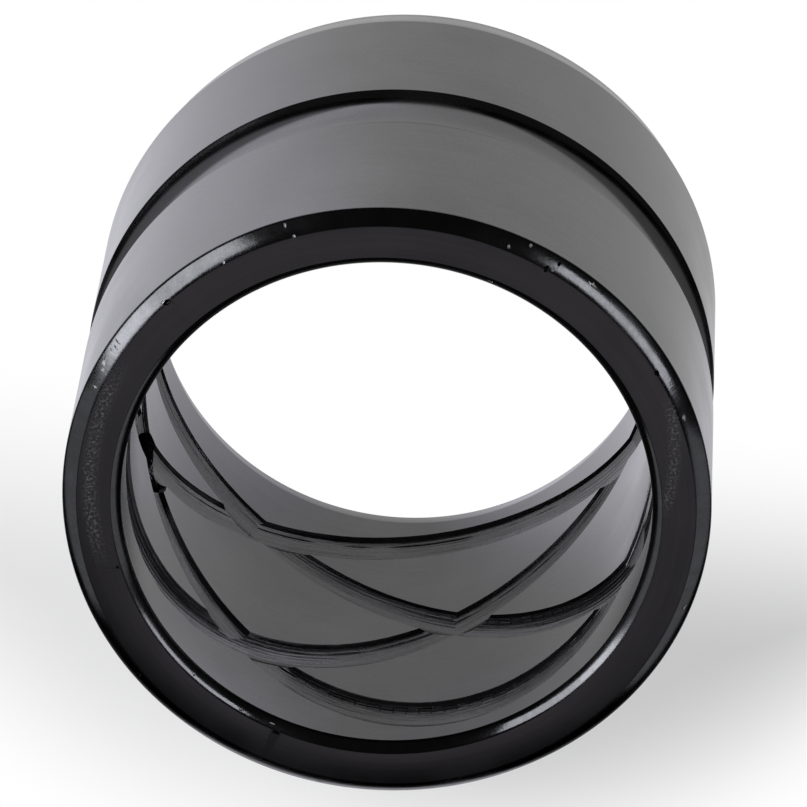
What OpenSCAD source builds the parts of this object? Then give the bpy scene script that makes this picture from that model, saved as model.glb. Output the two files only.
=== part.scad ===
// Grease-fed pivot bushing: a thick steel sleeve with an oil belt round the outside,
// a radial oil hole and four crossing oil grooves in the bore.
// It stands on its lead-in end: the axis is Z and the origin is the centre of that end face.
// Millimetres, +Z up.

/* [Body] */
// Bore diameter, running on the pin
bore_d = 90; // [70:1:120]
// Wall between the bore and the outside, which presses into the housing
wall = 10; // [8:0.5:16]
// Length over the two end faces
length = 90; // [80:1:130]

/* [End chamfers] */
// Height of the outside chamfer at the top end
top_chamfer_h = 2.1; // [1:0.1:5]
// How far the top chamfer cuts in from the outside
top_chamfer_in = 2.6; // [1:0.1:3.5]
// Height of the slim lead-in chamfer at the bottom end
lead_h = 7; // [3:0.5:10]
// How far the lead-in chamfer cuts in from the outside
lead_in = 1.6; // [0.5:0.1:3]
// Height of the chamfer in the bore's top mouth
top_mouth_h = 1.9; // [1:0.1:5]
// How far the top mouth's chamfer widens the bore, on the radius
top_mouth_out = 1.7; // [0.5:0.1:2.5]
// Height of the slim chamfer in the bore's bottom mouth
low_mouth_h = 4; // [2:0.1:6]
// How far the bottom mouth's chamfer widens the bore, on the radius
low_mouth_out = 0.9; // [0.4:0.1:2]

/* [Oil belt] */
// Width of the belt groove where it meets the outside
belt_w = 14.5; // [12:0.5:20]
// Depth of the belt groove at its middle
belt_depth = 3; // [1.5:0.1:4]

/* [Bore grooves] */
// Width of a bore groove along the axis
loop_w = 9; // [5:0.5:12]
// Depth of a bore groove at its middle
loop_depth = 2; // [1:0.1:3]
// Distance from the end faces to the turns of a loop in the middle of the sleeve
loop_turn = 14; // [12:0.5:25]
// How far the middle of the four loops lies above the middle of the sleeve
loop_rise = 1.1; // [-2:0.1:2]
// How far the upper pair of loops lies above that middle, and the lower pair below it
loop_stagger = 2.5; // [0:0.1:3.5]

/* [Oil hole] */
// Diameter of a radial oil hole
hole_d = 11; // [5:0.5:12]
// Number of oil holes, evenly round the bushing from +X
hole_count = 1; // [1:1:4]

/* [Hidden] */
bore_r = bore_d / 2;
body_r = bore_r + wall;
mid_z = length / 2;
round_fn = 96;
// Each groove's section is an arc: the radius that gives its width and depth
belt_arc = arc_radius(belt_w, belt_depth);
loop_arc = arc_radius(loop_w, loop_depth);
// Steps round a loop, facets across it, and how far its cutter stands out of the wall
loop_steps = 60;
loop_facets = 6;
loop_proud = 1.5;
// Angles where the loops of each pair come nearest to the top
upper_angles = [90, 180];
lower_angles = [0, 270];

// Radius of the arc that is w wide and d deep
function arc_radius(w, d) = (w * w / 4 + d * d) / (2 * d);

// Section of a bore groove's cutter in the axial plane: [radius, height from the groove's middle]
function loop_section() =
    let (centre = bore_r + loop_depth - loop_arc)
    let (half = acos((loop_arc - loop_depth - loop_proud) / loop_arc))
    [for (i = [0 : loop_facets])
        let (a = half * (2 * i / loop_facets - 1))
        [centre + loop_arc * cos(a), loop_arc * sin(a)]];

// Height of a loop's middle line at an angle round the bore
function loop_z(angle, top_angle, shift) =
    mid_z + loop_rise + shift + (mid_z - loop_turn) * cos(angle - top_angle);

// The plain sleeve with its end chamfers
module sleeve() {
    rotate_extrude($fn = round_fn)
        polygon([
            [bore_r + low_mouth_out, 0],
            [body_r - lead_in, 0],
            [body_r, lead_h],
            [body_r, length - top_chamfer_h],
            [body_r - top_chamfer_in, length],
            [bore_r + top_mouth_out, length],
            [bore_r, length - top_mouth_h],
            [bore_r, low_mouth_h]
        ]);
}

// The ring that cuts the oil belt round the outside
module belt_cut() {
    translate([0, 0, mid_z])
        rotate_extrude($fn = round_fn)
            translate([body_r - belt_depth + belt_arc, 0])
                circle(r = belt_arc, $fn = round_fn);
}

// One closed loop of groove, a section carried round the bore on a tilted path
module loop_cut(top_angle, shift) {
    section = loop_section();
    n = len(section);
    points = [for (k = [0 : loop_steps - 1])
        let (a = 360 * k / loop_steps)
        for (p = section)
            [p[0] * cos(a), p[0] * sin(a), loop_z(a, top_angle, shift) + p[1]]];
    faces = [for (k = [0 : loop_steps - 1])
        let (here = k * n)
        let (next = (k + 1) % loop_steps * n)
        for (i = [0 : n - 1])
            let (j = (i + 1) % n)
            each [[here + i, here + j, next + j], [here + i, next + j, next + i]]];
    polyhedron(points, faces);
}

// The radial drilling from the belt to a crossing of the grooves in the bore
module oil_holes() {
    for (i = [0 : hole_count - 1])
        rotate([0, 0, 360 * i / hole_count])
            translate([0, 0, mid_z])
                rotate([0, 90, 0])
                    cylinder(h = body_r, d = hole_d, $fn = round_fn);
}

module bushing() {
    color("#63656a")
        difference() {
            sleeve();
            belt_cut();
            for (a = upper_angles)
                loop_cut(a, loop_stagger);
            for (a = lower_angles)
                loop_cut(a, -loop_stagger);
            oil_holes();
        }
}

bushing();
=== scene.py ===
# %% [markdown]
# # A greased pivot bushing
# This lesson dresses one turned part: a thick steel sleeve with an oil belt round its outside, a radial
# oil hole and four crossing oil grooves in its bore. The imported CAD model is the fixed frame. It gives the
# sizes and the place of everything, so the first thing to do is load it.

import bmesh
import bpy
import numpy as np
from mathutils import Matrix


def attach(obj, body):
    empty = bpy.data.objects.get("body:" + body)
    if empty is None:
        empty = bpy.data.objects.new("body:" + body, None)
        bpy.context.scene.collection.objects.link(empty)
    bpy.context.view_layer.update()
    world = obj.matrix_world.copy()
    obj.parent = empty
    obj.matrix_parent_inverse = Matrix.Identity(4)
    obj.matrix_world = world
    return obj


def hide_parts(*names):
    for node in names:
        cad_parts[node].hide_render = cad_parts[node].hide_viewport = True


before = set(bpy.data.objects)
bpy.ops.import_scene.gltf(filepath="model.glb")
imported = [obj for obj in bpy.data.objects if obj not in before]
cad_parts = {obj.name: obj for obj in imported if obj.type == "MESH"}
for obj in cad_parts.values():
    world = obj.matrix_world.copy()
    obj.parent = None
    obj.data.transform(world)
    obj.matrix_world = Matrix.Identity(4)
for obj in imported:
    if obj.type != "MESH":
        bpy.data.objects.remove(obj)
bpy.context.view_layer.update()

# %% [markdown]
# ## The camera
# A camera and a lamp both look along their own minus Z. The place of either is easiest to read as a
# photographer would say it: what it is aimed at, from which side, how high, how far, and how much it is
# rolled. One helper turns those into the matrix that Blender wants.
#
# A long lens far away flattens the rings only a little. The angles, the distance and the lens come from
# fitting a pinhole camera to the round edges of the real sleeve, which lay on its side. This camera looks
# at a standing sleeve, so it is rolled nearly upside down.

# %% Camera
MM = 0.001
CAMERA_AIM = np.array([-0.44, 1.64, 45.0]) * MM
CAMERA_AZIMUTH, CAMERA_ELEVATION, CAMERA_ROLL = 246.612, 64.438, 186.181
CAMERA_DISTANCE, CAMERA_REACH = 1.2624, 50.0
LENS_MM, SENSOR_MM = 322.586, 36.0


def aimed(aim, azimuth, elevation, distance, roll=0.0):
    """Matrix with Z = (cos e cos a, cos e sin a, sin e), away from the aim, and a rolled level X."""
    a, e, r = np.radians([azimuth, elevation, roll])
    away = np.array([np.cos(e) * np.cos(a), np.cos(e) * np.sin(a), np.sin(e)])
    level = np.array([-np.sin(a), np.cos(a), 0.0])
    sideways = level * np.cos(r) + np.cross(away, level) * np.sin(r)
    axes = np.stack([sideways, np.cross(away, sideways), away], axis=1)
    return Matrix.Translation(aim + away * distance) @ Matrix(axes.tolist()).to_4x4()


camera_data = bpy.data.cameras.new("camera")
camera_data.lens, camera_data.sensor_width, camera_data.clip_end = LENS_MM, SENSOR_MM, CAMERA_REACH
camera = bpy.data.objects.new("camera", camera_data)
camera.matrix_world = aimed(CAMERA_AIM, CAMERA_AZIMUTH, CAMERA_ELEVATION, CAMERA_DISTANCE, CAMERA_ROLL)
bpy.context.scene.collection.objects.link(camera)
bpy.context.scene.camera = camera
print("camera", CAMERA_DISTANCE, "m from the middle of the sleeve, lens", LENS_MM, "mm")

# %% [markdown]
# ## The sizes
# All lengths of the sleeve are millimetres, as a maker would read them from the drawing, and they become
# metres only when a mesh is written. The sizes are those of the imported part. Each groove loop has the angle
# where it comes nearest the top, and its shift from the middle of the four.

# %% Sizes of the sleeve
BORE_R, BODY_R, LENGTH = 45.0, 55.0, 90.0
MID_R, MID_Z = (BORE_R + BODY_R) / 2, LENGTH / 2
TOP_CHAMFER_H, TOP_CHAMFER_IN = 2.1, 2.6
LEAD_H, LEAD_IN = 7.0, 1.6
TOP_MOUTH_H, TOP_MOUTH_OUT = 1.9, 1.7
LOW_MOUTH_H, LOW_MOUTH_OUT = 4.0, 0.9
BELT_W, BELT_DEPTH = 14.5, 3.0
LOOP_W, LOOP_DEPTH, LOOP_REACH, LOOP_RISE = 9.0, 2.0, 31.0, 1.1
LOOPS = np.array([(0.0, -2.5), (90.0, 2.5), (180.0, 2.5), (270.0, -2.5)])
HOLE_R = 5.5


def loop_middle(angle, loop):
    """Height of a loop's middle line: middle + rise + shift + reach*cos(a - top)."""
    top, shift = np.radians(LOOPS[loop, 0]), LOOPS[loop, 1]
    return MID_Z + LOOP_RISE + shift + LOOP_REACH * np.cos(angle - top)


print("sleeve", 2 * BODY_R, "mm across,", LENGTH, "mm long, with", len(LOOPS), "groove loops")

# %% [markdown]
# ## The finishes by name
# Each tool leaves its own finish. If the sleeve and all the cutters list the same finishes in the same
# order, a cut face keeps the finish of the tool that cut it, so the names are set out here and painted
# later.

# %% Finishes by name
GROUND, FACE, CHAMFER, GROOVE, BELT, HOLE, BARE, BLACK = range(8)
FINISH_NAMES = ("ground_land", "end_face", "worn_chamfer", "milled_groove", "belt_groove", "oil_hole",
                "bare_nick", "black_nick")
finishes = [bpy.data.materials.new(name) for name in FINISH_NAMES]
print("finishes:", FINISH_NAMES)

# %% [markdown]
# ## From arrays to a mesh
# Every piece here is a section carried round a closed path: a grid of points with one index along the path
# and one across the section. The grid's quads follow from the index alone, so one helper can wrap any such
# grid into a closed skin.


# %% Ring grids
def ring_quads(steps, points, close_path=True):
    """Quads (i, j), (i+1, j), (i+1, j+1), (i, j+1) of a grid that closes across, and along if asked."""
    i, j = np.meshgrid(np.arange(steps if close_path else steps - 1), np.arange(points), indexing="ij")
    k, m = (i + 1) % steps, (j + 1) % points
    corners = np.stack([i * points + j, k * points + j, k * points + m, i * points + m], axis=-1)
    return corners.reshape(-1, 4)


def mesh_object(name, points_mm, faces, finish=None):
    """Puts points in millimetres and a list of faces into a mesh object, in metres, with finish numbers."""
    mesh = bpy.data.meshes.new(name)
    mesh.from_pydata((points_mm.reshape(-1, 3) * MM).tolist(), [], faces)
    if finish is not None:
        for material in finishes:
            mesh.materials.append(material)
        index = np.broadcast_to(finish, len(mesh.polygons)).astype(np.int32)
        mesh.polygons.foreach_set("material_index", index)
    thing = bpy.data.objects.new(name, mesh)
    bpy.context.scene.collection.objects.link(thing)
    return thing


def turned(radius, height, angle):
    """Points at (r cos a, r sin a, z) for arrays that broadcast together."""
    radius, height, angle = np.broadcast_arrays(radius, height, angle)
    return np.stack([radius * np.cos(angle), radius * np.sin(angle), height], axis=-1)


print("a closed ring of 3 by 4 points has", len(ring_quads(3, 4)), "quads")

# %% [markdown]
# ## Edges and crowns
# No real edge is perfectly sharp, and a tiny rounding is what catches the light, so each corner of the
# section becomes a short arc. The arc touches both sides of the corner at the same distance, radius times
# the tangent of half the turn. Years of handling have crowned the two chamfers of the top end, so each is a
# flat bow. A Bevel modifier could round the edges too, but not crown a chamfer.


# %% Broken edges and crowned chamfers
def edge_arcs(outline, which, radii, arc_points=4):
    """Arcs for some corners of a closed outline: each starts and ends r/tan(inside/2) from its corner."""
    corners = outline[which]
    back = np.roll(outline, 1, axis=0)[which] - corners
    on = np.roll(outline, -1, axis=0)[which] - corners
    back /= np.linalg.norm(back, axis=1, keepdims=True)
    on /= np.linalg.norm(on, axis=1, keepdims=True)
    inside = np.arccos(np.clip((back * on).sum(axis=1), -1, 1))
    reach = radii / np.tan(inside / 2)
    middle = back + on
    middle /= np.linalg.norm(middle, axis=1, keepdims=True)
    centre = corners + middle * (radii / np.sin(inside / 2))[:, None]
    start = corners + back * reach[:, None] - centre
    end = corners + on * reach[:, None] - centre
    share = np.linspace(0, 1, arc_points)[None, :, None]
    fan = start[:, None] * (1 - share) + end[:, None] * share
    fan *= radii[:, None, None] / np.linalg.norm(fan, axis=2, keepdims=True)
    return centre[:, None] + fan


def crowned(start, end, points, bow):
    """A flat parabola from start to end, bow * length proud on the right: 4*t*(1 - t)."""
    start, end = np.array(start), np.array(end)
    t = np.linspace(0, 1, points)[:, None]
    right = np.array([end[1] - start[1], start[0] - end[0]])
    return start + (end - start) * t + right * bow * 4 * t * (1 - t)


# %% [markdown]
# ## The section of the sleeve
# A lathe makes the sleeve from one section: two end faces, two chamfers outside, two in the mouths of the
# bore, and the round belt. The belt is the arc with that width and depth. The section is a closed row of
# points, radius and height, that starts at the lower mouth and runs up the outside and down the bore.

# %% Section
BELT_ARC_POINTS, CROWN_POINTS, BORE_RINGS = 26, 8, 12
CHAMFER_BOW, MOUTH_BOW = 0.035, 0.06
# Radii of the broken edges
EDGE_FOOT, EDGE_LEAD, EDGE_BELT, EDGE_LAND, EDGE_FACE, EDGE_BORE = 0.2, 2.0, 0.15, 0.7, 0.3, 0.25

belt_radius = (BELT_W * BELT_W / 4 + BELT_DEPTH * BELT_DEPTH) / (2 * BELT_DEPTH)
half_belt = np.arcsin(BELT_W / 2 / belt_radius)
belt_turn = np.linspace(-half_belt, half_belt, BELT_ARC_POINTS)
belt_arc = np.stack([
    BODY_R - BELT_DEPTH + belt_radius - belt_radius * np.cos(belt_turn),
    MID_Z + belt_radius * np.sin(belt_turn),
], axis=1)
top_chamfer = ((BODY_R, LENGTH - TOP_CHAMFER_H), (BODY_R - TOP_CHAMFER_IN, LENGTH))
top_mouth = ((BORE_R + TOP_MOUTH_OUT, LENGTH), (BORE_R, LENGTH - TOP_MOUTH_H))
bore_rings = np.linspace(LENGTH - TOP_MOUTH_H, LOW_MOUTH_H, BORE_RINGS)[1:]
low_end = [[BORE_R + LOW_MOUTH_OUT, 0], [BODY_R - LEAD_IN, 0], [BODY_R, LEAD_H]]
outline = np.concatenate([
    low_end,
    belt_arc,
    crowned(*top_chamfer, CROWN_POINTS, CHAMFER_BOW),
    crowned(*top_mouth, CROWN_POINTS, MOUTH_BOW),
    np.stack([np.full_like(bore_rings, BORE_R), bore_rings], axis=1),
])

belt_start = len(low_end)
belt_end = belt_start + BELT_ARC_POINTS - 1
land_edge, face_edge = belt_end + 1, belt_end + CROWN_POINTS
mouth_edge, bore_edge, bore_foot = face_edge + 1, face_edge + CROWN_POINTS, len(outline) - 1
edges = {
    0: EDGE_FOOT, 1: EDGE_FOOT, 2: EDGE_LEAD, belt_start: EDGE_BELT, belt_end: EDGE_BELT,
    land_edge: EDGE_LAND, face_edge: EDGE_FACE, mouth_edge: EDGE_FACE, bore_edge: EDGE_BORE,
    bore_foot: EDGE_LEAD,
}
arcs = dict(zip(edges, edge_arcs(outline, list(edges), np.array(list(edges.values())))))
section = np.concatenate([arcs.get(n, point[None]) for n, point in enumerate(outline)])
print("section has", len(section), "points")

# %% [markdown]
# ## Turning the sleeve
# Carrying the section round the axis in 360 steps gives a skin that is round to two thousandths of a
# millimetre. A Screw modifier could do the same, but the array keeps the points in a known order. The place
# of each stretch of the section says which tool finished it.

# %% Turned sleeve
TURN_STEPS = 360
# How near the end faces, how far past a chamfer's edge and how far beyond the belt a stretch may lie
NEAR_END, PAST_EDGE, BELT_SLACK = 0.04, 0.05, 0.1

middle_r, middle_z = ((section + np.roll(section, -1, axis=0)) / 2).T
section_finish = np.select(
    [
        (middle_z > LENGTH - NEAR_END) | (middle_z < NEAR_END),
        (middle_z > LENGTH - TOP_CHAMFER_H + PAST_EDGE) & (middle_r > BODY_R - TOP_CHAMFER_IN),
        (middle_z > LENGTH - TOP_MOUTH_H + PAST_EDGE) & (middle_r < BORE_R + TOP_MOUTH_OUT),
        (np.abs(middle_z - MID_Z) < BELT_W / 2 + BELT_SLACK) & (middle_r > MID_R),
    ],
    [FACE, CHAMFER, CHAMFER, BELT],
    GROUND,
)
turn = np.linspace(0, 2 * np.pi, TURN_STEPS, endpoint=False)[:, None]
sleeve_points = turned(section[None, :, 0], section[None, :, 1], turn)
bushing = mesh_object("bushing_sleeve", sleeve_points, ring_quads(TURN_STEPS, len(section)).tolist(),
                      np.tile(section_finish, TURN_STEPS))
print("turned sleeve:", len(bushing.data.polygons), "quads")

# %% [markdown]
# ## The section of an oil groove
# The real grooves were milled in several passes with a tilted tool. So the lower wall is steep, and the
# floor falls away from it to the foot of the upper wall. Each loop was cut deepest on one side of the bore:
# there the lower wall is tall and a slim step runs along it, broken here and there. Smooth noise that
# closes on itself round the bore says where.

# %% Groove section
WALL_WIDE, WALL_TALL_AT, WALL_FOCUS = 0.4, np.radians(66.5), 3
# For each loop, the height of its lower wall where that is low and where it is tall, of the step there, and
# the depth of the floor
WALLS = np.array([
    (0.35, 0.9, 0.2, LOOP_DEPTH), (0.65, 0.85, 0.2, LOOP_DEPTH - 0.5),
    (0.30, 0.38, 0.0, LOOP_DEPTH), (0.45, 1.0, 0.2, LOOP_DEPTH),
])
STEP_AT, STEP_WIDE = 1.15, 0.25
STEP_WAVES, STEP_SEED, STEP_MEAN, STEP_VARIES = (7, 12, 19, 31), 40, 0.6, 1.5
FLOOR_AT = 5.2


def waver(angle, waves, seed):
    """Smooth closed noise round the bore: a mean of sines of whole wave numbers with seeded phases."""
    phases = np.random.default_rng(seed).uniform(0, 2 * np.pi, len(waves))
    return np.sin(angle[..., None] * np.asarray(waves) + phases).mean(axis=-1)


def smooth(t):
    """Smooth step from 0 to 1: t*t*(3 - 2*t)."""
    t = np.clip(t, 0, 1)
    return t * t * (3 - 2 * t)


def groove_depth(s, angle, loop):
    """Depth s mm from the lower lip: (wall + step + quarter sine) * (1 - t*t), t up the upper wall."""
    tall = np.clip(np.cos(angle - WALL_TALL_AT), 0, 1) ** WALL_FOCUS
    wall = WALLS[loop, 0] + (WALLS[loop, 1] - WALLS[loop, 0]) * tall
    stepped = smooth(STEP_MEAN + STEP_VARIES * waver(angle, STEP_WAVES, STEP_SEED))
    step = WALLS[loop, 2] * tall * stepped
    depth = wall * smooth(s / WALL_WIDE) + step * smooth((s - STEP_AT) / STEP_WIDE)
    depth = depth + (WALLS[loop, 3] - wall - step) * np.sin(np.pi / 2 * np.clip(s / FLOOR_AT, 0, 1))
    t = np.clip((s - FLOOR_AT) / (LOOP_W - FLOOR_AT), 0, 1)
    return depth * (1 - t * t)


print("loop 0 is", groove_depth(FLOOR_AT, np.zeros(1), 0).round(2), "mm deep")

# %% [markdown]
# ## Cutters for the oil grooves
# Each groove is a closed loop: the tool goes once round the bore while it slides up and down, so the height
# of its middle is a cosine of the angle. Its middle wanders a little, and fine ridges follow it. The cutter
# is the groove's section carried along that path, with more points at the wall and the step, and it stands
# out of the wall into the bore.

# %% Groove cutters
LOOP_STEPS, LOOP_PROUD, LOW_OVERRUN, HIGH_OVERRUN = 288, 1.2, 0.15, 0.6
# From, to and points of each stretch of the section
STRETCHES = ((0.0, 0.55, 10), (0.55, 1.1, 5), (1.1, 1.5, 7), (1.5, FLOOR_AT, 24))
UPPER_WALL_POINTS = 8
RIDGE_HIGH, RIDGE_APART, RIDGE_SWAY, RIDGE_WAVES, RIDGE_SEED = 0.018, 0.75, 2.2, (2, 3, 5), 10
RIDGES_FROM, RIDGES_RISE, RIDGES_FALL = 0.6, 0.4, 0.5
SHARE_MEAN, SHARE_VARIES, SHARE_WAVES, SHARE_SEED = 0.6, 0.8, (2, 5, 9), 20
WANDER, WANDER_WAVES, WANDER_SEED = 0.06, (23, 41, 67, 95, 130), 30

loop_across = np.concatenate([
    [-LOW_OVERRUN],
    *[np.linspace(start, stop, points, endpoint=False) for start, stop, points in STRETCHES],
    np.linspace(FLOOR_AT, LOOP_W, UPPER_WALL_POINTS),
    [LOOP_W + HIGH_OVERRUN],
])


def groove_ridges(s, angle, loop):
    """Ridges along a groove: height * share * sin(2*pi*s/apart + sway); the share fades at the lips."""
    faded = smooth((s - RIDGES_FROM) / RIDGES_RISE) * smooth((LOOP_W - s) / RIDGES_FALL)
    share = faded * (SHARE_MEAN + SHARE_VARIES * waver(angle, SHARE_WAVES, SHARE_SEED + loop))
    sway = RIDGE_SWAY * waver(angle, RIDGE_WAVES, RIDGE_SEED + loop)
    return RIDGE_HIGH * share * np.sin(2 * np.pi * s / RIDGE_APART + sway)


def groove_cutter(loop):
    """Radius = bore + depth(s) + ridges and height = loop middle - width/2 + s + wander, turned round Z."""
    a = np.linspace(0, 2 * np.pi, LOOP_STEPS, endpoint=False)[:, None]
    s = loop_across[None, :]
    inside = BORE_R + groove_depth(s, a, loop) + groove_ridges(s, a, loop)
    radius = np.where((s < 0) | (s > LOOP_W), BORE_R - LOOP_PROUD, inside)
    wander = WANDER * waver(a, WANDER_WAVES, WANDER_SEED + loop)
    points = turned(radius, loop_middle(a, loop) - LOOP_W / 2 + s + wander, a)
    quads = ring_quads(LOOP_STEPS, len(loop_across)).tolist()
    return mesh_object(f"groove_cutter_{loop}", points, quads, GROOVE)


cutters = [groove_cutter(n) for n in range(len(LOOPS))]
print("groove cutters:", [len(c.data.polygons) for c in cutters], "quads")

# %% [markdown]
# ## Cutter for the oil hole
# The oil hole is a plain drilling from the belt to a crossing of the grooves. A drill is a circle at two
# places along X, with both ends closed by one face.

# %% Oil hole cutter
DRILL_POINTS, DRILL_FROM, DRILL_TO = 72, 30.0, 60.0
drill_turn = np.linspace(0, 2 * np.pi, DRILL_POINTS, endpoint=False)[None]
drill_x = np.array([DRILL_FROM, DRILL_TO])[:, None]
drill_points = np.stack(np.broadcast_arrays(
    drill_x, HOLE_R * np.cos(drill_turn), MID_Z + HOLE_R * np.sin(drill_turn)), axis=-1)
drill_ends = np.arange(2 * DRILL_POINTS).reshape(2, -1).tolist()
drill_faces = ring_quads(2, DRILL_POINTS, close_path=False).tolist() + drill_ends
cutters.append(mesh_object("hole_cutter", drill_points, drill_faces, HOLE))
print("oil hole cutter:", len(drill_faces), "faces")

# %% [markdown]
# ## Nicks
# The sleeve has been knocked about. Small nicks sit on the two worn chamfers: some are scraped bright,
# others are deeper and painted near black. Random places would look even and dull, so each nick has its own
# row.

# %% Places of the nicks
# Angle, share of the chamfer from its lower edge, half length along the rim, half width across, finish
OUTER_NICKS = np.array([
    (296.2, 0.95, 0.75, 0.50, BLACK), (296.9, 0.80, 0.40, 0.25, BARE), (308.6, 0.45, 0.22, 0.75, BARE),
    (309.6, 0.55, 0.20, 0.60, BARE), (310.6, 0.40, 0.20, 0.45, BARE), (313.0, 0.40, 0.22, 0.28, BARE),
    (314.5, 0.55, 0.22, 0.32, BARE), (318.4, 0.60, 0.25, 0.50, BARE), (270.2, 0.30, 0.22, 0.45, BARE),
    (269.0, 0.95, 0.25, 0.30, BARE), (283.0, 0.90, 0.25, 0.35, BARE), (221.6, 0.95, 0.40, 0.65, BLACK),
    (220.4, 0.80, 0.25, 0.50, BARE), (219.9, 0.40, 0.30, 0.45, BLACK), (212.5, 0.30, 0.60, 0.22, BARE),
    (192.5, 0.95, 0.60, 0.45, BLACK), (182.1, 0.70, 0.45, 0.35, BARE), (225.9, 0.25, 0.25, 0.35, BARE),
    (229.5, 0.75, 0.25, 0.35, BARE), (20.0, 0.60, 0.50, 0.40, BLACK), (60.0, 0.30, 0.60, 0.25, BARE),
    (118.0, 0.80, 0.45, 0.35, BLACK), (143.0, 0.50, 0.50, 0.25, BARE),
])
MOUTH_NICKS = np.array([
    (26.6, 0.67, 0.40, 0.20, BARE), (39.5, 0.72, 0.45, 0.20, BARE), (47.0, 0.62, 0.50, 0.16, BARE),
    (48.4, 1.12, 0.80, 0.45, BLACK), (50.2, 1.25, 0.40, 0.25, BARE), (356.8, 1.20, 0.45, 0.45, BLACK),
    (230.0, 0.60, 0.50, 0.30, BARE), (290.0, 0.80, 0.50, 0.30, BLACK),
])
print("nicks outside:", len(OUTER_NICKS), "and in the mouth:", len(MOUTH_NICKS))

# %% [markdown]
# ## Cutters for the nicks
# Each nick is a lumpy pebble sunk into the surface, cut away like the grooves. All pebbles are one array:
# nick by latitude by longitude, with local axes along the rim, across the chamfer and out of it. A cap
# closes each end.

# %% Nick cutters
NICK_RINGS, NICK_POINTS, LAST_LATITUDE, LUMPY = 7, 14, 78.0, 0.2
# Depth of a nick as a share of its half width
BARE_DEPTH, BLACK_DEPTH = 0.4, 0.8
OUTER_SEED, MOUTH_SEED = 50, 51


def nick_points(nicks, low, high, bow, seed):
    """centre + tangent*x + across*y + out*z on ellipsoids (a, b, depth*b), swollen by seeded noise."""
    low, high = np.array(low), np.array(high)
    angle, share = nicks[:, :2].T
    half_along, half_across = nicks[:, 2:4].T[:, :, None, None]
    length = np.linalg.norm(high - low)
    across = (high - low) / length
    out = np.array([across[1], -across[0]])
    bulge = length * bow * 4 * share * (1 - share)
    spot = low + (high - low) * share[:, None] + out * bulge[:, None]
    a = np.radians(angle)[:, None, None]
    latitude = np.radians(np.linspace(-LAST_LATITUDE, LAST_LATITUDE, NICK_RINGS))[None, :, None]
    longitude = np.linspace(0, 2 * np.pi, NICK_POINTS, endpoint=False)[None, None, :]
    swell = np.random.default_rng(seed).uniform(-1, 1, (len(nicks), NICK_RINGS, NICK_POINTS))
    lump = 1 + LUMPY * swell
    x = half_along * lump * np.sin(latitude)
    y = half_across * lump * np.cos(latitude) * np.cos(longitude)
    deep = np.where(nicks[:, 4] == BARE, BARE_DEPTH, BLACK_DEPTH)[:, None, None]
    z = deep * half_across * lump * np.cos(latitude) * np.sin(longitude)
    radius = spot[:, 0, None, None] + across[0] * y + out[0] * z
    height = spot[:, 1, None, None] + across[1] * y + out[1] * z
    tangent = np.stack([-np.sin(a), np.cos(a), np.zeros_like(a)], axis=-1)
    return turned(radius, height, a) + tangent * x[..., None]


nicks = np.concatenate([
    nick_points(OUTER_NICKS, *top_chamfer, CHAMFER_BOW, OUTER_SEED),
    nick_points(MOUTH_NICKS, top_mouth[1], top_mouth[0], -MOUTH_BOW, MOUTH_SEED),
])
nick_finish = np.concatenate([OUTER_NICKS[:, 4], MOUTH_NICKS[:, 4]])
nick_starts = np.arange(len(nicks))[:, None, None] * NICK_RINGS * NICK_POINTS
nick_sides = ring_quads(NICK_RINGS, NICK_POINTS, close_path=False)
nick_quads = (nick_starts + nick_sides).reshape(-1, 4)
cap = np.arange(NICK_POINTS)
nick_caps = nick_starts + np.stack([cap, cap + (NICK_RINGS - 1) * NICK_POINTS])
face_finish = np.concatenate([np.repeat(nick_finish, len(nick_sides)), np.repeat(nick_finish, 2)])
nick_faces = nick_quads.tolist() + nick_caps.reshape(-1, NICK_POINTS).tolist()
cutters.append(mesh_object("nick_cutter", nicks, nick_faces, face_finish))
print("nick cutter:", len(nick_faces), "faces")

# %% [markdown]
# ## Cutting
# A Boolean modifier takes each cutter away from the sleeve. The Manifold solver is quick and exact enough
# for closed skins like these. The cut mesh is then read back, so the piece carries no live modifier, and
# each edge sharper than a set angle is marked, so that the lips stay crisp while the rest is smooth.

# %% Cut the grooves, the hole and the nicks
SHARP_ANGLE = np.radians(34)


def outward(thing):
    """Turns every face of a closed skin outwards."""
    work = bmesh.new()
    work.from_mesh(thing.data)
    bmesh.ops.recalc_face_normals(work, faces=work.faces)
    work.to_mesh(thing.data)
    work.free()


for skin in [bushing] + cutters:
    outward(skin)
for cutter in cutters:
    cut = bushing.modifiers.new(cutter.name, "BOOLEAN")
    cut.operation, cut.solver, cut.object = "DIFFERENCE", "MANIFOLD", cutter
cut_mesh = bpy.data.meshes.new_from_object(bushing.evaluated_get(bpy.context.evaluated_depsgraph_get()))
bushing.modifiers.clear()
bushing.data = cut_mesh
for cutter in cutters:
    bpy.data.objects.remove(cutter)
cut_mesh.name = "bushing_sleeve"
cut_mesh.polygons.foreach_set("use_smooth", np.ones(len(cut_mesh.polygons), bool))
cut_mesh.set_sharp_from_angle(angle=SHARP_ANGLE)
cut_mesh.calc_loop_triangles()
print("cut sleeve:", len(cut_mesh.polygons), "faces,", len(cut_mesh.loop_triangles), "triangles")

# %% [markdown]
# ## Reading the cut mesh
# The next steps need to know where every face corner lies and which finish its face has. A mesh gives such
# fields as flat rows, so one helper reads a field into an array.


# %% Corners of the cut mesh
def read(collection, name, width):
    """Reads one field of every element as an array with width columns."""
    values = np.empty(len(collection) * width)
    collection.foreach_get(name, values)
    return values.reshape(-1, width)


def read_whole(collection, name):
    """Reads one whole number of every element."""
    return read(collection, name, 1)[:, 0].astype(int)


def polar(points):
    """Radius, angle and height of points."""
    return np.hypot(points[:, 0], points[:, 1]), np.arctan2(points[:, 1], points[:, 0]), points[:, 2]


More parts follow.
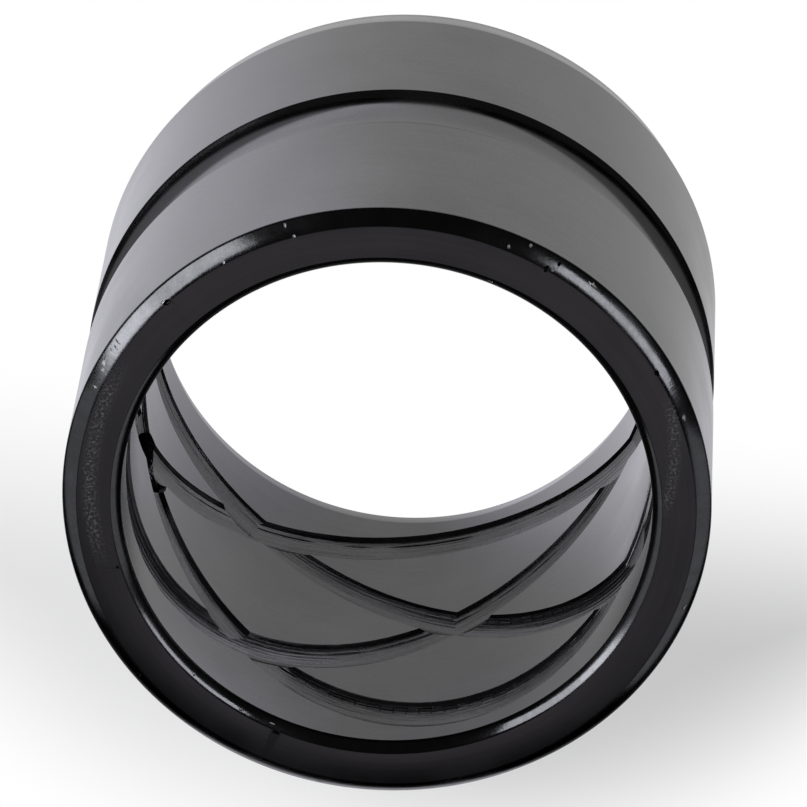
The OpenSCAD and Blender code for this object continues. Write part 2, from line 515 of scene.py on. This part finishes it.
zone = read_whole(cut_mesh.polygons, "material_index")
face_of_corner = np.repeat(np.arange(len(zone)), read_whole(cut_mesh.polygons, "loop_total"))
corner_points = read(cut_mesh.vertices, "co", 3)[read_whole(cut_mesh.loops, "vertex_index")] / MM
corner_radius, corner_angle, corner_height = polar(corner_points)
print("faces of each finish:", np.bincount(zone, minlength=len(FINISH_NAMES)))

# %% [markdown]
# ## True normals on the lands
# The cut leaves long thin triangles on the round lands, and their averaged normals would show as faint
# streaks in a mirror. A cylinder's normal is known: straight out from the axis, or straight in. So the
# corners that lie on the bore or on the outside get exactly that.

# %% Normals of the lands
ON_WALL, LEVEL_NORMAL, PAST_LOW_END = 0.02, 0.1, 1.0
corner_normals = read(cut_mesh.corner_normals, "vector", 3)
on_land = (np.abs(corner_normals[:, 2]) < LEVEL_NORMAL) & (zone[face_of_corner] == GROUND)
radial = corner_points * (1, 1, 0) / corner_radius[:, None]
on_bore = on_land & (np.abs(corner_radius - BORE_R) < ON_WALL)
on_bore &= corner_height > LOW_MOUTH_H + PAST_LOW_END
on_outside = on_land & (np.abs(corner_radius - BODY_R) < ON_WALL)
on_outside &= corner_height > LEAD_H + PAST_LOW_END
true_normals = np.select([on_bore[:, None], on_outside[:, None]], [-radial, radial], corner_normals)
cut_mesh.normals_split_custom_set(true_normals.tolist())
print("land corners with true normals:", int(on_bore.sum() + on_outside.sum()), "of", len(corner_points))

# %% [markdown]
# ## Tracks
# Tool lines run along each groove, so the shader must know how far across its own groove a point lies, how
# far along, and which groove it is. The cut mesh stores that at each face corner. A face belongs to the
# groove whose surface it misses least.

# %% Groove tracks
FAR_OFF, LIP_SLACK = 10.0, 0.3


def groove_place(angle, height, loop):
    """Millimetres from the lower lip of a groove, along Z."""
    return height - loop_middle(angle, loop) + LOOP_W / 2


def groove_miss(radius, angle, height, loop):
    """How far points lie off a groove's surface: |depth - depth(s)|, and far off outside its width."""
    s = groove_place(angle, height, loop)
    beside = (s < -LIP_SLACK) | (s > LOOP_W + LIP_SLACK)
    return np.abs(radius - BORE_R - groove_depth(s, angle, loop)) + FAR_OFF * beside


def corner_attribute(name, columns):
    """Stores three columns of numbers at the face corners of the cut mesh."""
    values = np.stack(columns, axis=1)
    cut_mesh.attributes.new(name, "FLOAT_VECTOR", "CORNER").data.foreach_set("vector", values.ravel())


face_place = polar(read(cut_mesh.polygons, "center", 3) / MM)
loop_of_face = np.stack([groove_miss(*face_place, n) for n in range(len(LOOPS))]).argmin(axis=0)
corner_loop = loop_of_face[face_of_corner]
corner_across = groove_place(corner_angle, corner_height, corner_loop)
corner_attribute("track", [corner_across, corner_angle * BORE_R, corner_loop])
print("groove tracks on", int((zone == GROOVE).sum()), "faces")

# %% [markdown]
# ## Grease and chatter
# Old grease still sits round the mouth of the oil hole and a little way along the groove that starts there,
# and on one stretch of each groove the tool shook. A second attribute stores both as shares from 0 to 1.

# %% Grease and chatter
# The groove with the tail of grease, the angle where it ends, its width, and the rim round the hole
GREASE_LOOP, GREASE_TO, GREASE_WIDE, GREASE_RIM = 1, 11.0, 1.2, 0.3
# How softly the grease ends: round the hole in millimetres, along in degrees and across in millimetres
RIM_FADE, END_FADE, SIDE_FADE = 0.8, 1.5, 0.6
# For each loop, the angle where the tool shook, and over how many degrees to either side
SHAKES = np.array([(300.0, 30.0), (78.0, 30.0), (98.0, 18.0), (200.0, 25.0)])

hole_distance = np.hypot(corner_points[:, 1], corner_height - MID_Z)
round_hole = np.clip((HOLE_R + GREASE_RIM - hole_distance) / RIM_FADE, 0, 1)
tail_end = np.clip((GREASE_TO - np.degrees(corner_angle)) / END_FADE, 0, 1)
tail_side = np.clip((GREASE_WIDE - corner_across) / SIDE_FADE, 0, 1)
tail = np.where((corner_loop == GREASE_LOOP) & (corner_angle > 0), tail_end * tail_side, 0)
greasy = np.where(corner_points[:, 0] > 0, np.maximum(round_hole, tail), 0)
shaken_at, shaken_over = np.radians(SHAKES[corner_loop]).T
from_shake = np.angle(np.exp(1j * (corner_angle - shaken_at))) / shaken_over
corner_attribute("wear", [greasy, np.exp(-from_shake ** 4), np.zeros_like(greasy)])
print("greasy corners:", int((greasy > 0).sum()))

# %% [markdown]
# ## Shader helpers
# Materials are networks of nodes. A few small helpers keep the code that builds them readable: one adds a
# node and links its inputs, others do arithmetic, map a range, mix, make noise, and start a group.


# %% Node helpers
def add(tree, kind, inputs=None, **settings):
    """Adds a node, sets its properties, and links or sets its inputs by name or number."""
    node = tree.nodes.new(kind)
    for key, value in settings.items():
        setattr(node, key, value)
    for key, value in (inputs or {}).items():
        if isinstance(value, bpy.types.NodeSocket):
            tree.links.new(value, node.inputs[key])
        else:
            node.inputs[key].default_value = value
    return node


def maths(tree, operation, *values):
    """One Math node, fed by sockets or numbers."""
    return add(tree, "ShaderNodeMath", dict(enumerate(values)), operation=operation).outputs[0]


def vector_maths(tree, operation, *vectors):
    """One Vector Math node that gives a number, such as a length or a dot product."""
    node = add(tree, "ShaderNodeVectorMath", dict(enumerate(vectors)), operation=operation)
    return node.outputs["Value"]


def ramp(tree, value, low, high, to_low=0.0, to_high=1.0):
    """Maps low..high to to_low..to_high with a smooth step."""
    inputs = {0: value, 1: low, 2: high, 3: to_low, 4: to_high}
    return add(tree, "ShaderNodeMapRange", inputs, interpolation_type="SMOOTHSTEP").outputs[0]


def mix(tree, share, first, second):
    """Mixes two numbers."""
    return add(tree, "ShaderNodeMix", {0: share, 2: first, 3: second}).outputs[0]


def mix_colour(tree, share, first, second):
    """Mixes two colours with four channels."""
    return add(tree, "ShaderNodeMix", {0: share, 6: first, 7: second}, data_type="RGBA").outputs[2]


def split(tree, vector):
    """The three numbers of a vector."""
    return add(tree, "ShaderNodeSeparateXYZ", {0: vector}).outputs


def joined(tree, x, y, z=0.0):
    """A vector of three numbers."""
    return add(tree, "ShaderNodeCombineXYZ", {0: x, 1: y, 2: z}).outputs[0]


def noise(tree, place, scale, detail, roughness=0.5):
    """The value of a noise texture."""
    inputs = {"Vector": place, "Scale": scale, "Detail": detail, "Roughness": roughness}
    return add(tree, "ShaderNodeTexNoise", inputs).outputs[0]


def attribute(tree, name):
    """A vector that the mesh stores at its face corners."""
    return add(tree, "ShaderNodeAttribute", attribute_name=name).outputs["Vector"]


def group(name, numbers, outputs):
    """A group that takes a Position and named numbers; returns its tree, inputs and outputs."""
    tree = bpy.data.node_groups.new(name, "ShaderNodeTree")
    tree.interface.new_socket("Position", in_out="INPUT", socket_type="NodeSocketVector")
    for number in numbers:
        tree.interface.new_socket(number, in_out="INPUT", socket_type="NodeSocketFloat")
    for output in outputs:
        tree.interface.new_socket(output, in_out="OUTPUT", socket_type="NodeSocketFloat")
    print("group", name)
    return tree, tree.nodes.new("NodeGroupInput").outputs, tree.nodes.new("NodeGroupOutput").inputs


# %% [markdown]
# ## Tool lines
# Turning, grinding and milling all leave fine lines along the way the tool went. One group makes them for
# every finish: noise that is stretched along the surface and tight across it. Across is the height on the
# lands, the radius on the end faces, and the track in the grooves. The second output is broad patches,
# where the finish is a little lighter or duller.

# %% Tool lines group
PATCH_SCALE = 55.0


def tool_lines():
    """Lines: noise at (x*stretch, y*stretch, across*fineness). Patches: plain broad noise."""
    tree, given, made = group("tool_lines", ["Across", "Stretch", "Fineness"], ["Lines", "Patches"])
    x, y, _ = split(tree, given["Position"])
    along_x, along_y = [maths(tree, "MULTIPLY", side, given["Stretch"]) for side in (x, y)]
    tight = maths(tree, "MULTIPLY", given["Across"], given["Fineness"])
    lines = noise(tree, joined(tree, along_x, along_y, tight), scale=1.0, detail=4.0, roughness=0.6)
    tree.links.new(lines, made["Lines"])
    tree.links.new(noise(tree, given["Position"], PATCH_SCALE, detail=5.0), made["Patches"])
    return tree


lines_tree = tool_lines()

# %% [markdown]
# ## Grain
# The satin of the steel is a very fine pebbled grain. The same group also gives rare pits, little dark
# specks that show on every zone. Pits sit in the middles of a few chosen Voronoi cells.

# %% Grain group
PIT_SCALE, PIT_CHOSEN, PIT_EDGE = 160.0, 0.9, (0.05, 0.12)


def steel_grain():
    """Grain: fine noise. Pitted: the middles of the Voronoi cells whose random colour is high."""
    tree, given, made = group("steel_grain", ["Size", "Pits"], ["Grain", "Pitted"])
    grain = noise(tree, given["Position"], given["Size"], detail=2.0, roughness=0.7)
    cells = add(tree, "ShaderNodeTexVoronoi", {"Vector": given["Position"], "Scale": PIT_SCALE}).outputs
    lot = add(tree, "ShaderNodeSeparateColor", {0: cells["Color"]}).outputs[0]
    rare = maths(tree, "GREATER_THAN", lot, PIT_CHOSEN)
    pit = maths(tree, "MULTIPLY", ramp(tree, cells["Distance"], *PIT_EDGE, 1.0, 0.0), rare)
    tree.links.new(grain, made["Grain"])
    tree.links.new(maths(tree, "MULTIPLY", pit, given["Pits"]), made["Pitted"])
    return tree


grain_tree = steel_grain()

# %% [markdown]
# ## Scuffs and glints
# The top face has been dragged over something on two sides, and on those two sides its turned surface
# catches the light. A scuff is a band round the axis with an angle, a spread, a radius that may drift with
# the angle, and a width. Inside the band fine noise picks out the specks: scratched steel, and at the same
# time a painted glint.

# %% Scuff and painted glint group
SPECK_SCALE, SPECK_RANGE = 2200.0, (0.44, 0.64)
# Shares of the width and of the spread over which a scuff fades out
BAND_FADE, SWEEP_FADE = (0.2, 1.0), (0.6, 1.0)


def scuff_glint_band():
    """Specks where |r - (Radius + swing*Drift)| < Width and |swing| < Spread, swing being from Middle."""
    numbers = ["Middle", "Spread", "Radius", "Drift", "Width"]
    tree, given, made = group("scuff_glint_band", numbers, ["Scuffed"])
    facing = add(tree, "ShaderNodeVectorRotate", {"Vector": given["Position"], "Angle": given["Middle"]},
                 rotation_type="Z_AXIS", invert=True).outputs[0]
    x, y, _ = split(tree, facing)
    swing = maths(tree, "ARCTAN2", y, x)
    middle_radius = maths(tree, "MULTIPLY_ADD", swing, given["Drift"], given["Radius"])
    off_middle = maths(tree, "SUBTRACT", vector_maths(tree, "LENGTH", joined(tree, x, y)), middle_radius)
    off_share = maths(tree, "DIVIDE", maths(tree, "ABSOLUTE", off_middle), given["Width"])
    swing_share = maths(tree, "DIVIDE", maths(tree, "ABSOLUTE", swing), given["Spread"])
    in_band = ramp(tree, off_share, *BAND_FADE, 1.0, 0.0)
    in_sweep = ramp(tree, swing_share, *SWEEP_FADE, 1.0, 0.0)
    specks = ramp(tree, noise(tree, given["Position"], SPECK_SCALE, detail=4.0), *SPECK_RANGE)
    scuff_glint_share = maths(tree, "MULTIPLY", maths(tree, "MULTIPLY", in_band, in_sweep), specks)
    tree.links.new(scuff_glint_share, made["Scuffed"])
    return tree


scuff_glint_tree = scuff_glint_band()

# %% [markdown]
# ## Steel
# All finishes are the same steel. Lines and patches mix two greys, patches set the roughness, and lines and
# grain give the bump. A finish may lay stains and painted glints over that: each is a mask with its own
# colour and roughness.
# So a material starts with its lines and grain, and ends by mixing them into the shader.

# %% Start of a steel material
# Millimetres between the tracks of two loops in the noise, so that no two grooves have the same lines
LOOPS_APART = 17.0


def across_lines(tree, place, across_of):
    """What changes from one tool line to the next: height, swing, radius or the track across a groove."""
    if across_of == "track":
        across, _, loop = split(tree, attribute(tree, "track"))
        return maths(tree, "MULTIPLY", maths(tree, "MULTIPLY_ADD", loop, LOOPS_APART, across), MM)
    x, y, z = split(tree, place)
    if across_of == "height":
        return z
    if across_of == "swing":
        return maths(tree, "MULTIPLY", maths(tree, "ARCTAN2", y, x), BORE_R * MM)
    return vector_maths(tree, "LENGTH", joined(tree, x, y))


def steel(finish, stretch, fineness, across_of, line_share=0.4, grain_size=2600.0, pits=0.5):
    """A finish with its Principled shader, Object coordinates, tool lines and grain."""
    material = finishes[finish]
    material.use_nodes = True
    tree = material.node_tree
    place = add(tree, "ShaderNodeTexCoord").outputs["Object"]
    across = across_lines(tree, place, across_of)
    lines_inputs = {"Position": place, "Across": across, "Stretch": stretch, "Fineness": fineness}
    grain_inputs = {"Position": place, "Size": grain_size, "Pits": pits}
    lines = add(tree, "ShaderNodeGroup", lines_inputs, node_tree=lines_tree).outputs
    grain = add(tree, "ShaderNodeGroup", grain_inputs, node_tree=grain_tree).outputs
    return {"name": material.name, "tree": tree, "place": place, "lines": lines, "grain": grain,
            "line_share": line_share}


print("steel has", len(finishes), "finishes to paint")

# %% [markdown]
# ## Grey, rough and bumpy
# The end of a steel material is always the same: one number mixes the two greys, another the roughness, and
# a third is the height for the bump, in millionths of a metre.

# %% End of a steel material
MICRON = 0.000001
GRAIN_SHARE, TONE_RANGE, PIT_DEEP = 0.3, (0.3, 0.7), 40.0


def finish_steel(parts, dark, light, roughness, lines_height, grain_height, stains_and_glints=(), cut_height=None):
    """Mixes the greys, lays the stains and painted glints (mask, colour, roughness) over them, and links the
    bump.
    """
    tree, lines, grain, line_share = parts["tree"], parts["lines"], parts["grain"], parts["line_share"]
    patch_share = 1 - GRAIN_SHARE - line_share
    speckle = maths(tree, "MULTIPLY", grain["Grain"], GRAIN_SHARE)
    patched = maths(tree, "MULTIPLY_ADD", lines["Patches"], patch_share, speckle)
    mixed = maths(tree, "ADD", maths(tree, "MULTIPLY", lines["Lines"], line_share), patched)
    clean = maths(tree, "SUBTRACT", 1.0, grain["Pitted"])
    tone = maths(tree, "MULTIPLY", ramp(tree, mixed, *TONE_RANGE), clean)
    colour = mix_colour(tree, tone, (*dark, 1), (*light, 1))
    rough = ramp(tree, lines["Patches"], *TONE_RANGE, *roughness)
    for mask, stain_and_glint_colour, dullness in stains_and_glints:
        colour = mix_colour(tree, mask, colour, (*stain_and_glint_colour, 1))
        rough = mix(tree, mask, rough, dullness)
    lines_raised = maths(tree, "MULTIPLY", lines["Lines"], lines_height * MICRON)
    grain_raised = maths(tree, "MULTIPLY", grain["Grain"], grain_height * MICRON)
    raised = maths(tree, "ADD", lines_raised, grain_raised)
    if cut_height is not None:
        raised = maths(tree, "ADD", raised, cut_height)
    sunk = maths(tree, "SUBTRACT", raised, maths(tree, "MULTIPLY", grain["Pitted"], PIT_DEEP * MICRON))
    bump = add(tree, "ShaderNodeBump", {"Height": sunk, "Strength": 1.0, "Distance": 1.0})
    shader = tree.nodes["Principled BSDF"]
    tree.links.new(colour, shader.inputs["Base Color"])
    tree.links.new(rough, shader.inputs["Roughness"])
    tree.links.new(bump.outputs[0], shader.inputs["Normal"])
    shader.inputs["Metallic"].default_value = 1.0
    print("painted", parts["name"])


# %% [markdown]
# ## Lands and belt
# The bore and the outside are ground to a dark satin, with hardly any line to see. The belt was turned: it
# is a little lighter and smoother. On both the lines run round the axis, so they change with the height.

# %% Lands and belt
finish_steel(steel(GROUND, stretch=18.0, fineness=2200.0, across_of="height", line_share=0.2),
             dark=(0.137, 0.137, 0.141), light=(0.188, 0.188, 0.194), roughness=(0.19, 0.26),
             lines_height=0.8, grain_height=1.8)
finish_steel(steel(BELT, stretch=18.0, fineness=1400.0, across_of="height", line_share=0.2),
             dark=(0.175, 0.175, 0.18), light=(0.22, 0.22, 0.227), roughness=(0.12, 0.20),
             lines_height=1.0, grain_height=1.2)

# %% [markdown]
# ## End face
# The top face is smooth and black, and two scuffs show the bare steel. Their light, rough specks are also a
# painted glint on the two sides that catch the light. Painting them into the mesh would take many faces, so
# they are masks from the scuff and glint group.

# %% End face
# Light rough steel: bare steel of the scuffs, and a painted glint of the turned face on two sides
BARE_STEEL_AND_GLINT, BARE_AND_GLINT_ROUGH = (0.50, 0.50, 0.51), 0.75
# For each scuff and painted glint, its middle and spread in degrees, then its radius, drift per radian
# and width
SCUFF_GLINTS = ((333.0, 24.0, 50.4, -2.4, 1.8), (175.0, 14.0, 49.8, 12.2, 1.5))

face = steel(FACE, stretch=25.0, fineness=1500.0, across_of="radius")
scuff_glint_stains = []
for middle, spread, radius, drift, width in SCUFF_GLINTS:
    scuff_glint_node = add(face["tree"], "ShaderNodeGroup", {
        "Position": face["place"], "Middle": np.radians(middle), "Spread": np.radians(spread),
        "Radius": radius * MM, "Drift": drift * MM, "Width": width * MM}, node_tree=scuff_glint_tree)
    scuff_glint_stains.append((scuff_glint_node.outputs["Scuffed"], BARE_STEEL_AND_GLINT, BARE_AND_GLINT_ROUGH))
finish_steel(face, dark=(0.105, 0.10, 0.108), light=(0.135, 0.13, 0.14), roughness=(0.20, 0.30),
             lines_height=1.0, grain_height=1.6, stains_and_glints=scuff_glint_stains)

# %% [markdown]
# ## Worn chamfers
# The chamfers of the top end are polished by handling and pebbled by small knocks. Their marks run across
# the rim, so the lines change with the swing round the axis.

# %% Worn chamfers
finish_steel(steel(CHAMFER, stretch=25.0, fineness=500.0, across_of="swing", line_share=0.3,
                   grain_size=1500.0),
             dark=(0.10, 0.10, 0.103), light=(0.16, 0.16, 0.165), roughness=(0.10, 0.22),
             lines_height=10.0, grain_height=8.0)

# %% [markdown]
# ## Milled grooves
# The grooves are milled, with coarse lines along the track. Where the tool shook it left short dark marks
# side by side along the step. A brick texture on the track makes them, and its mortar is the mark. Near
# the oil hole old grease lies over both.

# %% Milled grooves
GREASE_BLACK, GREASE_ROUGH = (0.012, 0.012, 0.013), 0.15
MARK_BLACK, MARK_ROUGH, MARK_DEEP = (0.03, 0.03, 0.03), 0.3, 40.0
# Where the marks begin and end across the groove, in millimetres from its lower lip
MARKS_FROM, MARKS_TO = (0.4, 0.7), (1.6, 2.6)

groove = steel(GROOVE, stretch=70.0, fineness=1500.0, across_of="track")
groove_tree = groove["tree"]
greased, shaken, _ = split(groove_tree, attribute(groove_tree, "wear"))
track = attribute(groove_tree, "track")
bricks = add(groove_tree, "ShaderNodeTexBrick", {
    "Vector": track, "Scale": 1.0, "Mortar Size": 0.10, "Mortar Smooth": 0.3, "Brick Width": 0.7,
    "Row Height": 2.2})
across_groove = split(groove_tree, track)[0]
near_step = maths(groove_tree, "MULTIPLY", ramp(groove_tree, across_groove, *MARKS_FROM),
                  ramp(groove_tree, across_groove, *MARKS_TO, 1.0, 0.0))
shaken_step = maths(groove_tree, "MULTIPLY", shaken, near_step)
marked = maths(groove_tree, "MULTIPLY", bricks.outputs["Fac"], shaken_step)
finish_steel(groove, dark=(0.115, 0.115, 0.118), light=(0.20, 0.20, 0.205), roughness=(0.20, 0.30),
             lines_height=90.0, grain_height=2.0,
             stains_and_glints=[(marked, MARK_BLACK, MARK_ROUGH), (greased, GREASE_BLACK, GREASE_ROUGH)],
             cut_height=maths(groove_tree, "MULTIPLY", marked, -MARK_DEEP * MICRON))

# %% [markdown]
# ## Hole and nicks
# The drilled hole is rough and full of old grease. A nick is either bare rough steel or deeper and painted
# near black, and the two differ only in their greys and roughness.

# %% Hole and nicks
finish_steel(steel(HOLE, stretch=300.0, fineness=300.0, across_of="radius"),
             dark=(0.02, 0.02, 0.02), light=(0.10, 0.10, 0.10), roughness=(0.08, 0.20),
             lines_height=800.0, grain_height=2.0)
NICK_LOOKS = (
    (BARE, (0.70, 0.70, 0.71), (0.90, 0.90, 0.91), (0.50, 0.75)),
    (BLACK, GREASE_BLACK, (0.03, 0.03, 0.03), (0.30, 0.50)),
)
for nick, dark, light, roughness in NICK_LOOKS:
    finish_steel(steel(nick, stretch=60.0, fineness=900.0, across_of="radius"), dark, light, roughness,
                 lines_height=10.0, grain_height=4.0)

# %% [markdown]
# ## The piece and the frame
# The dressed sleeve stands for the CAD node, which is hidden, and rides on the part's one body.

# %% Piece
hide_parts("bushing")
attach(bushing, "root")
print("piece:", bushing.name)

# %% [markdown]
# ## The floor
# A white sheet carries the sleeve. It is flat for four metres and then rises a little, so that it fills low
# views too. Its rings lie closer together near the sleeve. These sizes are metres.

# %% Floor sheet
FLOOR_HUB, FLOOR_SPAN, FLOOR_RISE_FROM, FLOOR_RISE = 0.05, 6.0, 4.0, 0.5
FLOOR_RINGS, FLOOR_SECTORS = 40, 96
floor_radius = np.geomspace(FLOOR_HUB, FLOOR_SPAN, FLOOR_RINGS)[:, None]
floor_share = np.clip((floor_radius - FLOOR_RISE_FROM) / (FLOOR_SPAN - FLOOR_RISE_FROM), 0, 1)
floor_turn = np.linspace(0, 2 * np.pi, FLOOR_SECTORS, endpoint=False)[None, :]
floor_points = turned(floor_radius, FLOOR_RISE * floor_share ** 2, floor_turn) / MM
floor_hub = [list(range(FLOOR_SECTORS))]
floor_faces = ring_quads(FLOOR_RINGS, FLOOR_SECTORS, close_path=False).tolist() + floor_hub
floor = mesh_object("floor", floor_points, floor_faces)
floor.data.polygons.foreach_set("use_smooth", np.ones(len(floor.data.polygons), bool))
print("floor", len(floor.data.polygons), "faces")

# %% [markdown]
# ## Painted light on the floor
# The sleeve is a dark mirror that shows the sheet. What mirrors see of the sheet is a glow painted with
# light and shade: it is painted brighter on one side and fades into the room, so the mirrored white falls
# off to one side and with the distance, and a little of it is painted cool. The bore mirrors only the sheet
# under it, where the glow is painted dimmer as the shade inside the bore. Each fade is written as from and
# to in metres, and the value at either end.

# %% Mirrored floor with painted light and shade
SHADE_AT = np.radians(66.5)
SHADE_SIDE = (np.cos(SHADE_AT), np.sin(SHADE_AT), 0.0)
LIT_SIDE = (np.sin(SHADE_AT), -np.cos(SHADE_AT), 0.0)
UNDER_BORE = (0.0458, 0.0463, 1.0, 0.0)
# Fades of the painted glow: painted light on the left and the near side, painted shade far to either side,
# under the bore and out in the room
PAINTED_GLOW_LEFT, PAINTED_GLOW_NEAR = (-0.01, 0.07, 0.62, 1.0), (-0.02, 0.03, 0.62, 0.95)
LIMB_FADE = (0.086, 0.104, 1.0, 0.28)
BORE_RIGHT, BORE_LEFT = (-0.03, -0.005, 0.95, 0.49), (0.01, 0.035, 0.49, 0.62)
ROOM_FADE = (0.26, 0.40, 1.0, 0.0)
COOL_LEFT, COOL_NEAR, COOL_BORE = (0.015, 0.05), (-0.02, 0.03), (0.005, 0.02)

paint = bpy.data.materials.new("floor_white")
paint.use_nodes = True
sheet = paint.node_tree
sheet_place = add(sheet, "ShaderNodeTexCoord").outputs["Object"]
from_middle = vector_maths(sheet, "LENGTH", sheet_place)
to_left = vector_maths(sheet, "DOT_PRODUCT", sheet_place, LIT_SIDE)
to_shade = vector_maths(sheet, "DOT_PRODUCT", sheet_place, SHADE_SIDE)
to_either_side = maths(sheet, "ABSOLUTE", to_left)
under_bore = ramp(sheet, from_middle, *UNDER_BORE)

# Painted light for mirrors: brighter towards the left and the near side, painted darker far to either side
painted_glow_outside = maths(sheet, "MAXIMUM", ramp(sheet, to_left, *PAINTED_GLOW_LEFT), ramp(sheet, to_shade, *PAINTED_GLOW_NEAR))
painted_glow_outside = maths(sheet, "MULTIPLY", painted_glow_outside, ramp(sheet, to_either_side, *LIMB_FADE))
# Under the bore the glow is painted dimmer, as shade, and a little lighter towards its sides
painted_glow_inside = maths(sheet, "MAXIMUM", ramp(sheet, to_left, *BORE_RIGHT), ramp(sheet, to_left, *BORE_LEFT))
painted_glow = mix(sheet, under_bore, painted_glow_outside, painted_glow_inside)
mirrored = maths(sheet, "MULTIPLY", painted_glow, ramp(sheet, from_middle, *ROOM_FADE))
# A painted cool tint on the left, on the near side and at the sides of the bore
painted_cool_outside = maths(sheet, "MAXIMUM", ramp(sheet, to_left, *COOL_LEFT), ramp(sheet, to_shade, *COOL_NEAR))
painted_cool = mix(sheet, under_bore, painted_cool_outside, ramp(sheet, to_either_side, *COOL_BORE))
print("mirrored floor:", len(sheet.nodes), "nodes")

# %% [markdown]
# ## Paint on the floor
# The white of the sheet is a glow that only the eye and mirrors see, where a strength of 1 is white. It is
# mixed with plain white paint that takes the shadow, most of all on the shaded side close to the sleeve.

# %% Floor paint
SHADE_NEAR, SHADE_FAR = (0.02, 0.07, 1.0, 0.5), (0.09, 0.13, 0.5, 1.0)
PAINT_WHITE, PAINT_ROUGH = (0.82, 0.82, 0.82, 1), 0.9
PURE_WHITE, PAINTED_COOL_GLOW = (1, 1, 1, 1), (0.97, 0.97, 1.04, 1)

matt = sheet.nodes["Principled BSDF"]
matt.inputs["Base Color"].default_value = PAINT_WHITE
matt.inputs["Roughness"].default_value = PAINT_ROUGH
matt.inputs["Specular IOR Level"].default_value = 0.0
past_shade = maths(sheet, "MAXIMUM", ramp(sheet, to_shade, *SHADE_NEAR),
                   ramp(sheet, from_middle, *SHADE_FAR))
seen_share = maths(sheet, "MAXIMUM", under_bore, past_shade)
rays = add(sheet, "ShaderNodeLightPath").outputs
in_mirror = rays["Is Glossy Ray"]
by_eye = maths(sheet, "MAXIMUM", rays["Is Camera Ray"], rays["Is Transmission Ray"])
glow_share = maths(sheet, "MAXIMUM", maths(sheet, "MULTIPLY", by_eye, seen_share), in_mirror)
# Mirrors see the glow in its painted cool tint and at its painted strength
glow_colour = mix_colour(sheet, maths(sheet, "MULTIPLY", painted_cool, in_mirror), PURE_WHITE, PAINTED_COOL_GLOW)
glow_strength = mix(sheet, in_mirror, 1.0, mirrored)
glow = add(sheet, "ShaderNodeEmission", {0: glow_colour, 1: glow_strength}).outputs[0]
painted = add(sheet, "ShaderNodeMixShader", {0: glow_share, 1: matt.outputs[0], 2: glow}).outputs[0]
sheet.links.new(painted, sheet.nodes["Material Output"].inputs["Surface"])
floor.data.materials.append(paint)
print("floor paint:", paint.name)

# %% [markdown]
# ## Lights
# Dark polished steel shows its surroundings, so the lights are shapes to be mirrored: a soft box on each
# side for the bright bands on the chamfers, with a brighter core on the left, a dim wall beyond each, and a
# dim panel overhead for the end face. The lamp that lights the floor is kept out of mirrors. The room is
# nearly dark.

# %% Lamps and world
LAMP_AIM = np.array([0.0, 0.0, 0.08])
COOL_LIGHT, ROSE_LIGHT, WHITE_LIGHT = (0.93, 0.95, 1.0), (1.0, 0.97, 1.0), (1, 1, 1)
DIM_ROOM = (0.02, 0.02, 0.021, 1)


def soft_box(name, azimuth, elevation, distance, size, radiance, roll=0, colour=COOL_LIGHT, mirrored=True):
    """A rectangle in direction (azimuth, elevation) from the top end, facing it: radiance*pi*area watts."""
    lamp = bpy.data.lights.new(name, "AREA")
    lamp.shape = "RECTANGLE"
    lamp.size, lamp.size_y = size
    lamp.energy = radiance * np.pi * size[0] * size[1]
    lamp.color = colour
    thing = bpy.data.objects.new(name, lamp)
    thing.matrix_world = aimed(LAMP_AIM, azimuth, elevation, distance, roll)
    thing.visible_glossy = mirrored
    bpy.context.scene.collection.objects.link(thing)


soft_box("left_box", azimuth=316, elevation=24, distance=1.3, size=(0.98, 0.58), radiance=2.8, roll=-10)
soft_box("left_core", azimuth=329, elevation=21, distance=1.28, size=(0.34, 0.50), radiance=1.6, roll=-10)
soft_box("right_box", azimuth=185, elevation=32, distance=1.3, size=(0.88, 0.27), radiance=2.7, roll=14)
soft_box("left_wall", azimuth=5, elevation=14, distance=1.4, size=(1.1, 0.75), radiance=0.38)
soft_box("right_wall", azimuth=128, elevation=14, distance=1.4, size=(1.3, 0.75), radiance=0.38)
soft_box("top_panel", azimuth=60, elevation=70.2, distance=0.56, size=(0.5, 0.2), radiance=0.245,
         colour=ROSE_LIGHT)
soft_box("floor_lamp", azimuth=283, elevation=50, distance=1.6, size=(0.5, 0.5), radiance=20.0,
         colour=WHITE_LIGHT, mirrored=False)
world = bpy.data.worlds.new("dim_room")
world.use_nodes = True
world.node_tree.nodes["Background"].inputs[0].default_value = DIM_ROOM
bpy.context.scene.world = world
bpy.context.scene.view_settings.view_transform = "Standard"
